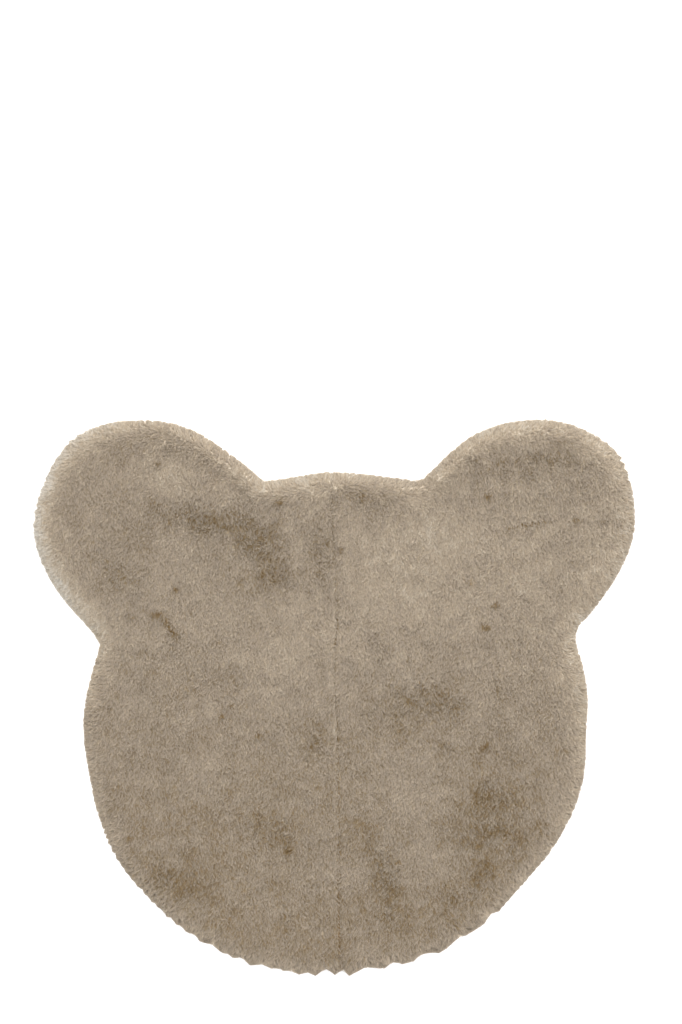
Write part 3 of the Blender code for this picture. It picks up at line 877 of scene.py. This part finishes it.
# %% Locks
LOCK_KINDS = 9
BLADES = 10
LOCK_LENGTH = 9.0 * MM
LOCK_ROOTS = 1.7 * MM  # radius of the patch that a lock's roots stand in
LOCK_GATHER = 0.65  # the radius of its tips, as a share of that
LOCK_LEAN = math.radians(54)  # of the tip, away from the surface's normal
LOCK_BEND = 0.12  # how far the tip turns to either side, as a share of the length
ROOT_DEPTH = 0.8 * MM  # how deep the roots stand in the undercoat
BLADE_LENGTHS = (0.7, 1.15)  # shares of the lock's length
BLADE_WIDTH = 0.9 * MM
BLADE_WIDTHS = (0.8, 1.2)  # shares of that
BLADE_TWIST = 0.9  # radians either way
BLADE_SPREAD = 1.15  # how far the blades of a lock differ on the map's tone direction
MAP_MIDDLE = 0.5  # place on it of a blade with its lock's own tone
MAP_WIDTH = 0.02  # half of what one blade's root takes up on it

locks = bpy.data.collections.new("locks")


def blade(mesh, layer, chance, tip):
    """One tapered blade from its root to about the lock's tip, with its place on the fur map."""
    bearing = chance.uniform(0, math.tau)
    reach = LOCK_ROOTS * math.sqrt(chance.random())
    root = Vector((reach * math.cos(bearing), reach * math.sin(bearing), -ROOT_DEPTH))
    end = root * LOCK_GATHER + tip * chance.uniform(*BLADE_LENGTHS)
    along = (end - root).normalized()
    side = Vector((0.0, 1.0, 0.0)).cross(along).cross(along).normalized()
    twist = chance.uniform(-BLADE_TWIST, BLADE_TWIST)
    across = side * math.cos(twist) + along.cross(side) * math.sin(twist)
    across *= BLADE_WIDTH * chance.uniform(*BLADE_WIDTHS) / 2
    tone = MAP_MIDDLE + BLADE_SPREAD * chance.uniform(-0.5, 0.5)
    face = mesh.faces.new([mesh.verts.new(place) for place in (root - across, root + across, end)])
    on_map = ((tone - MAP_WIDTH, 0.0), (tone + MAP_WIDTH, 0.0), (tone, 1.0))
    for loop, place in zip(face.loops, on_map):
        loop[layer].uv = place
    face.smooth = True
    face.normal_update()
    if face.normal.z < 0:
        face.normal_flip()


def lock(index):
    """One kind of lock, at the origin, growing along +Z and leaning towards +X."""
    chance = random.Random(100 + index)
    mesh = bmesh.new()
    layer = mesh.loops.layers.uv.new("OFBake")
    bend = chance.uniform(-LOCK_BEND, LOCK_BEND)
    tip = LOCK_LENGTH * Vector((math.sin(LOCK_LEAN), bend, math.cos(LOCK_LEAN)))
    for _ in range(BLADES):
        blade(mesh, layer, chance, tip)
    data = bpy.data.meshes.new(f"lock_{index}")
    mesh.to_mesh(data)
    mesh.free()
    locks.objects.link(bpy.data.objects.new(data.name, data))


for index in range(LOCK_KINDS):
    lock(index)
print(f"{LOCK_KINDS} kinds of lock, {BLADES} blades each")

# %% [markdown]
# ## The fur's finish
#
# Acrylic fibre is dyed through, but the roots lie in the shade of their neighbours, and the tips are
# sheared fine and catch the light. So the colour follows two numbers of the fur map: across is the tone of
# the lock's place, from parted brown to the cream of the rim, and up is the way from root to tip. Nothing
# else is read, so that the map holds the whole finish.


# %% Fur material
LIGHT_THROUGH = 0.35  # share of the light that comes through, so that locks seen from below aren't black
ROOT_TO_TIP = (0.05, 0.85)  # where on a blade the roots' colour ends and the tips' begins
STREAKS = (90.0, 3.0, 1.0)  # on the map: ninety fine streaks over all tones, three from root to tip
STREAK_FROM, STREAK_TO = (0.3, 0.7), (0.7, 1.18)  # the noise, and the brightness that it gives


def fur_material():
    """Brushed acrylic fibre: soft, almost matt, with a faint sheen, and thin enough to let light through."""
    material, tree, shader = new_material("acrylic_fur")
    place = add(tree, "ShaderNodeUVMap", uv_map="OFBake").outputs["UV"]
    parts = add(tree, "ShaderNodeSeparateXYZ", {0: place})
    tone, along = parts.outputs["X"], parts.outputs["Y"]
    tips = ramp(
        tree,
        tone,
        (
            (0.0, "#7a6549"),
            (0.25, "#9e845c"),
            (0.38, "#b1966d"),
            (0.46, "#b8a483"),
            (0.54, "#c0b3a2"),
            (0.64, "#cdbfae"),
            (0.74, "#dacab2"),
            (1.0, "#f4f0e8"),
        ),
    )
    roots = ramp(
        tree,
        tone,
        (
            (0.0, "#65533b"),
            (0.25, "#836b4a"),
            (0.38, "#927b57"),
            (0.46, "#988668"),
            (0.54, "#a19384"),
            (0.64, "#b4a592"),
            (0.74, "#c6b59a"),
            (1.0, "#ebe4d8"),
        ),
    )
    rise = in_range(tree, along, ROOT_TO_TIP, (0.0, 1.0), interpolation_type="SMOOTHSTEP")
    body = add(tree, "ShaderNodeMix", {0: rise, 6: roots, 7: tips}, data_type="RGBA").outputs[2]
    streak_place = add(tree, "ShaderNodeMapping", {"Vector": place, "Scale": STREAKS}).outputs[0]
    streaks = add(tree, "ShaderNodeTexNoise", {"Vector": streak_place, "Scale": 1.0, "Detail": 1.0})
    strength = in_range(tree, streaks.outputs["Fac"], STREAK_FROM, STREAK_TO)
    final = add(tree, "ShaderNodeVectorMath", {0: body, "Scale": strength}, operation="SCALE")
    tree.links.new(final.outputs[0], shader.inputs["Base Color"])
    shader.inputs["Roughness"].default_value = 0.7
    shader.inputs["Specular IOR Level"].default_value = 0.25
    shader.inputs["Sheen Weight"].default_value = 0.15
    shader.inputs["Sheen Roughness"].default_value = 0.5
    through = add(tree, "ShaderNodeBsdfTranslucent", {"Color": final.outputs[0]}).outputs[0]
    fibre = add(tree, "ShaderNodeMixShader", {0: LIGHT_THROUGH, 1: shader.outputs[0], 2: through})
    tree.links.new(fibre.outputs[0], tree.nodes["Material Output"].inputs["Surface"])
    return material


fur_paint = fur_material()

# %% [markdown]
# ## Planting the fur
#
# Some eighty-five thousand locks is work for Geometry Nodes, in two trees. The first scatters points on the
# pile's surface no closer than a lock's width. The script then gives every point its numbers, and the
# second tree stands a lock on each, turned the way the fur is combed there, and hands every blade its tone.
# Its last steps are the barber's: what would reach past the rug's outline ends on it, and what would reach
# through the floor lies down on it.
#
# One mesh of it all would be too heavy to open, so each panel's fur is made in bands from chin to ear, with
# as many locks in one as in the next.


# %% Scattering tree
LOCK_SPACING = 1.9 * MM
ROOT_TRIES = 800000.0  # to a square metre, enough to fill it at that spacing
SEED = 3


def group_input(tree, name, kind, value=None):
    """A named input of a Geometry Nodes tree, and the identifier that a modifier knows it by."""
    socket = tree.interface.new_socket(name, in_out="INPUT", socket_type=kind)
    if value is not None:
        socket.default_value = value
    return socket.identifier


def scatter_tree():
    """Scatters lock roots on a surface, and the identifiers of its inputs by name."""
    tree = bpy.data.node_groups.new("scatter_roots", "GeometryNodeTree")
    ids = {
        "surface": group_input(tree, "Surface", "NodeSocketGeometry"),
        "spacing": group_input(tree, "Spacing", "NodeSocketFloat", LOCK_SPACING),
        "density": group_input(tree, "Density", "NodeSocketFloat", ROOT_TRIES),
        "seed": group_input(tree, "Seed", "NodeSocketInt", SEED),
    }
    tree.interface.new_socket("Roots", in_out="OUTPUT", socket_type="NodeSocketGeometry")
    given = add(tree, "NodeGroupInput").outputs
    scatter = add(
        tree,
        "GeometryNodeDistributePointsOnFaces",
        {
            "Mesh": given["Surface"],
            "Distance Min": given["Spacing"],
            "Density Max": given["Density"],
            "Seed": given["Seed"],
        },
        distribute_method="POISSON",
    )
    grounded = add(
        tree,
        "GeometryNodeStoreNamedAttribute",
        {0: scatter.outputs["Points"], "Name": "ground", "Value": scatter.outputs["Normal"]},
        data_type="FLOAT_VECTOR",
    )
    roots = add(tree, "GeometryNodePointsToVertices", {0: grounded.outputs[0]})
    add(tree, "NodeGroupOutput", {0: roots.outputs[0]})
    return tree, ids


scatter_roots, scatter_ids = scatter_tree()

# %% Roots with their numbers
SURFACE_ROUNDING = 2  # levels of the Subdivision Surface that the locks stand on
BAND_NAMES = ("jaw", "cheek", "ear")


def with_tree(surface, name, tree, ids, values):
    """A plain mesh of what a Geometry Nodes tree makes of an object, which stays."""
    grown = bpy.data.objects.new(name + "_growing", surface.data)
    bpy.context.scene.collection.objects.link(grown)
    modifier = grown.modifiers.new(name, "NODES")
    modifier.node_group = tree
    for key, value in values.items():
        modifier[ids[key]] = value
    return made_plain(grown, name)


def vector_rows(data, name):
    """A mesh's vector attribute as rows of three."""
    rows = np.empty(3 * len(data.vertices))
    data.attributes[name].data.foreach_get("vector", rows)
    return rows.reshape(-1, 3)


def lock_roots(side):
    """Places and ground directions of one panel's lock roots."""
    surface = pile_surface(side, SURFACE_ROUNDING)
    roots = with_tree(surface, "roots_" + side, scatter_roots, scatter_ids, {"spacing": LOCK_SPACING})
    places = np.array([vertex.co for vertex in roots.data.vertices])
    ground = vector_rows(roots.data, "ground")
    bpy.data.objects.remove(surface)
    bpy.data.objects.remove(roots)
    return places, ground


LEVEL = math.radians(84)  # as far as a lock leans away from upright, also on the rim's slope


def least_lean(pile, ground):
    """The fur's lean, held back where the ground already falls away below the comb."""
    slope = np.hypot(*ground[:, :2].T)
    down = (pile.comb * ground[:, :2]).sum(1) / np.maximum(slope * np.hypot(*pile.comb.T), 1e-6)
    return np.minimum(pile.lean, (LEVEL - np.arctan2(slope, ground[:, 2]) * down) / LOCK_LEAN)


def numbered_roots(name, places, ground):
    """An object with a point for each root, which carries comb, ground, lean, length and tone."""
    data = bpy.data.meshes.new(name)
    data.from_pydata(places, [], [])
    pile = pile_at(places[:, 0], places[:, 1])
    pile = pile._replace(lean=least_lean(pile, ground))
    flat = np.column_stack([pile.comb, np.zeros(len(places))])
    for key, rows in (("comb", flat), ("ground", ground)):
        data.attributes.new(key, "FLOAT_VECTOR", "POINT").data.foreach_set("vector", rows.ravel())
    for key in ("lean", "length", "tone"):
        data.attributes.new(key, "FLOAT", "POINT").data.foreach_set("value", getattr(pile, key))
    return bpy.data.objects.new(name, data)


ROOTS = {}
for side in SIDES:
    places, ground = lock_roots(side)
    from_chin = np.argsort(places[:, 1])
    for band, chosen in zip(BAND_NAMES, np.array_split(from_chin, len(BAND_NAMES))):
        ROOTS[side, band] = numbered_roots(f"roots_{side}_{band}", places[chosen], ground[chosen])
    print(f"{side}: {len(places)} locks")

# %% [markdown]
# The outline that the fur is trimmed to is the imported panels' own: in full below the chin, where the tufts
# are, and where its locks are large, as on the ears' outer tops. Elsewhere the rug has a clean edge, and
# only a third of each lock is kept. As a flat face, just like the paper pattern that a cutter lays down, it
# tells by a ray from above whether a place is on the rug.

# %% Outline pattern
TRIM_REACH = 7  # steps each way that the clean edge is evened out over
ROUGH_REACH = 20  # steps each way over which the locks are measured
ROUGH = (0.42, 0.72)  # mm that they stand in or out in the mean, below which few show and above which all do
LOCKS_LEFT = 0.3  # share of their length that still shows where the edge is clean


def trim_loop(side):
    """One panel's border for the shears."""
    rim = even_steps(RIM[side], RIM_STEP)
    clean = smooth_line(rim, TRIM_REACH)
    rough = np.hypot(*(rim - clean).T)
    rough = smooth_line(np.stack([rough, rough], 1), ROUGH_REACH)[:, 0] / MM
    showing = np.maximum(smoothstep(*ROUGH, rough), 1 - smoothstep(*CHIN, rim[:, 1]))
    share = LOCKS_LEFT + (1 - LOCKS_LEFT) * showing
    print(f"{side}: the locks show on {np.mean(showing > 0.5):.0%} of the rim")
    return np.concatenate([clean + share[:, None] * (rim - clean), SEAM[side][1:-1]])


pattern_mesh = bmesh.new()
for side in SIDES:
    pattern_mesh.faces.new([pattern_mesh.verts.new((x, y, 0.0)) for x, y in trim_loop(side)])
pattern_data = bpy.data.meshes.new("pattern")
pattern_mesh.to_mesh(pattern_data)
pattern_mesh.free()
pattern = bpy.data.objects.new("pattern", pattern_data)
print(f"pattern: {len(pattern_data.vertices)} points")


# %% Planting tree
LOCK_SIZES = (0.82, 1.18)  # shares of a lock's length
TONE_ENDS_ON_MAP = (0.01, 0.99)
EVEN_TONE = 1.45  # tone at which the blades of a lock would be alike: pale fur is evener than dark
UNEVENNESS = 0.28  # how much of their difference shows for each 1 of tone below that
RAY_FROM = (0.0, 0.0, 1.0)  # metres above a place, where its ray down to the pattern starts
RAY_LENGTH = 2.0


def plant_tree():
    """Stands a lock on every root, and the identifiers of its inputs by name."""
    tree = bpy.data.node_groups.new("plant_fur", "GeometryNodeTree")
    ids = {
        "roots": group_input(tree, "Roots", "NodeSocketGeometry"),
        "seed": group_input(tree, "Seed", "NodeSocketInt", SEED),
        "sway": group_input(tree, "Sway", "NodeSocketFloat", 0.9),  # radians off the comb either way
        "tilt": group_input(tree, "Tilt", "NodeSocketFloat", 0.3),  # radians up or down
        "tone": group_input(tree, "Tone Spread", "NodeSocketFloat", 0.04),
        "evenness": group_input(tree, "Evenness", "NodeSocketFloat", 0.85),  # share of the ground's shading
        "low": group_input(tree, "Floor Gap", "NodeSocketFloat", 0.3 * MM),
        "soft": group_input(tree, "Floor Softness", "NodeSocketFloat", 2.2 * MM),
        "locks": group_input(tree, "Locks", "NodeSocketCollection"),
        "pattern": group_input(tree, "Pattern", "NodeSocketObject"),
        "paint": group_input(tree, "Fur", "NodeSocketMaterial"),
    }
    tree.interface.new_socket("Fur", in_out="OUTPUT", socket_type="NodeSocketGeometry")
    given = add(tree, "NodeGroupInput").outputs

    def named(name, kind="FLOAT"):
        return add(tree, "GeometryNodeInputNamedAttribute", {0: name}, data_type=kind).outputs[0]

    def maths(operation, one, two=0.0):
        return add(tree, "ShaderNodeMath", {0: one, 1: two}, operation=operation).outputs[0]

    def chance(low, high, step):
        seed = maths("ADD", given["Seed"], step)
        return add(tree, "FunctionNodeRandomValue", {2: low, 3: high, "Seed": seed}).outputs[1]

    def either_way(most, step):
        return chance(maths("MULTIPLY", most, -1.0), most, step)

    def axes_here():
        here = add(tree, "GeometryNodeInputPosition").outputs[0]
        return add(tree, "ShaderNodeSeparateXYZ", {0: here}).outputs

    combed_way = add(
        tree,
        "FunctionNodeAxesToRotation",
        {"Primary Axis": named("ground", "FLOAT_VECTOR"), "Secondary Axis": named("comb", "FLOAT_VECTOR")},
        primary_axis="Z",
        secondary_axis="X",
    )
    upright = maths("MULTIPLY", maths("SUBTRACT", named("lean"), 1.0), LOCK_LEAN)
    pitch = maths("ADD", upright, either_way(given["Tilt"], 3))
    turn = add(tree, "ShaderNodeCombineXYZ", {1: pitch, 2: either_way(given["Sway"], 2)}).outputs[0]
    own = add(tree, "FunctionNodeEulerToRotation", {0: turn}).outputs[0]
    both_turns = {0: combed_way.outputs[0], 1: own}
    rotation = add(tree, "FunctionNodeRotateRotation", both_turns, rotation_space="LOCAL")

    own_tone = maths("ADD", named("tone"), either_way(given["Tone Spread"], 1))
    toned = add(
        tree,
        "GeometryNodeStoreNamedAttribute",
        {0: given["Roots"], "Name": "tone", "Value": own_tone},
    )
    kinds = add(tree, "GeometryNodeCollectionInfo", {"Collection": given["Locks"], 1: True, 2: True})
    kind_range = {4: 0, 5: LOCK_KINDS - 1, "Seed": given["Seed"]}
    pick = add(tree, "FunctionNodeRandomValue", kind_range, data_type="INT")
    planted = add(
        tree,
        "GeometryNodeInstanceOnPoints",
        {
            "Points": toned.outputs[0],
            "Instance": kinds.outputs[0],
            "Pick Instance": True,
            "Instance Index": pick.outputs[2],
            "Rotation": rotation.outputs[0],
            "Scale": maths("MULTIPLY", named("length"), chance(*LOCK_SIZES, 4)),
        },
    )
    real = add(tree, "GeometryNodeRealizeInstances", {0: planted.outputs[0]})

    axes = axes_here()
    on_paper = add(tree, "ShaderNodeCombineXYZ", {0: axes["X"], 1: axes["Y"]}).outputs[0]
    above = add(tree, "ShaderNodeVectorMath", {0: on_paper, 1: RAY_FROM}, operation="ADD").outputs[0]
    paper = add(tree, "GeometryNodeObjectInfo", {"Object": given["Pattern"]}).outputs["Geometry"]
    ray = add(
        tree,
        "GeometryNodeRaycast",
        {
            "Target Geometry": paper,
            "Source Position": above,
            "Ray Direction": (0.0, 0.0, -1.0),
            "Ray Length": RAY_LENGTH,
        },
    )
    outside = add(tree, "FunctionNodeBooleanMath", {0: ray.outputs["Is Hit"]}, operation="NOT").outputs[0]
    edge = add(tree, "GeometryNodeProximity", {0: paper, 2: on_paper}, target_element="EDGES")
    edge_axes = add(tree, "ShaderNodeSeparateXYZ", {0: edge.outputs["Position"]}).outputs
    trimmed_place = add(tree, "ShaderNodeCombineXYZ", {0: edge_axes["X"], 1: edge_axes["Y"], 2: axes["Z"]})
    trimmed = add(
        tree,
        "GeometryNodeSetPosition",
        {0: real.outputs[0], "Selection": outside, "Position": trimmed_place.outputs[0]},
    )

    axes = axes_here()
    knee = maths("ADD", given["Floor Gap"], given["Floor Softness"])
    over = maths("SUBTRACT", axes["Z"], knee)
    sunk = maths("DIVIDE", maths("MINIMUM", over, 0.0), given["Floor Softness"])
    eased = maths("MULTIPLY", maths("EXPONENT", sunk), given["Floor Softness"])
    height = maths("ADD", maths("ADD", maths("MAXIMUM", over, 0.0), eased), given["Floor Gap"])
    laid = add(tree, "ShaderNodeCombineXYZ", {0: axes["X"], 1: axes["Y"], 2: height})
    resting = add(tree, "GeometryNodeSetPosition", {0: trimmed.outputs[0], "Position": laid.outputs[0]})

    own_map = add(tree, "ShaderNodeSeparateXYZ", {0: named("OFBake", "FLOAT_VECTOR")})
    spread = maths("MULTIPLY", maths("SUBTRACT", EVEN_TONE, named("tone")), UNEVENNESS)
    shift = maths("MULTIPLY", maths("SUBTRACT", own_map.outputs["X"], MAP_MIDDLE), spread)
    not_dark = maths("MAXIMUM", maths("ADD", named("tone"), shift), TONE_ENDS_ON_MAP[0])
    across = maths("MINIMUM", not_dark, TONE_ENDS_ON_MAP[1])
    on_map = add(tree, "ShaderNodeCombineXYZ", {0: across, 1: own_map.outputs["Y"]})
    mapped = add(
        tree,
        "GeometryNodeStoreNamedAttribute",
        {0: resting.outputs[0], "Name": "OFBake", "Value": on_map.outputs[0]},
        data_type="FLOAT2",
        domain="CORNER",
    )
    facing = add(tree, "GeometryNodeInputNormal").outputs[0]
    ground = named("ground", "FLOAT_VECTOR")
    facings = {0: given["Evenness"], 4: facing, 5: ground}
    mixed = add(tree, "ShaderNodeMix", facings, data_type="VECTOR")
    even = add(tree, "ShaderNodeVectorMath", {0: mixed.outputs[1]}, operation="NORMALIZE")
    soft_faces = add(
        tree,
        "GeometryNodeSetMeshNormal",
        {"Mesh": mapped.outputs[0], "Custom Normal": even.outputs[0]},
        mode="FREE",
        domain="CORNER",
    )
    painting = {0: soft_faces.outputs[0], "Material": given["Fur"]}
    painted = add(tree, "GeometryNodeSetMaterial", painting)
    add(tree, "NodeGroupOutput", {0: painted.outputs[0]})
    return tree, ids


plant_fur, plant_ids = plant_tree()

# %% Fur in its bands
ROOT_NUMBERS = ("comb", "lean", "length", "tone", "ground")
FUR = {side: [] for side in SIDES}
for (side, band), roots in ROOTS.items():
    values = {"locks": locks, "pattern": pattern, "paint": fur_paint}
    fur = with_tree(roots, f"fur_{side}_{band}", plant_fur, plant_ids, values)
    bpy.data.objects.remove(roots)
    for used in ROOT_NUMBERS:
        if used in fur.data.attributes:
            fur.data.attributes.remove(fur.data.attributes[used])
    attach(fur, "root")
    FUR[side].append(fur)
    print(f"{fur.name}: {len(fur.data.polygons)} triangles")
bpy.data.objects.remove(pattern)

# %% [markdown]
# ## Handing the layers over
#
# The backing is the cloth, and the undercoat and fur go with it: all three hang from the rug's one body, and
# the imported panel is then hidden.

for side in SIDES:
    sheet = BACKING[side]
    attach(sheet, "root")
    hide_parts("panel_" + side)
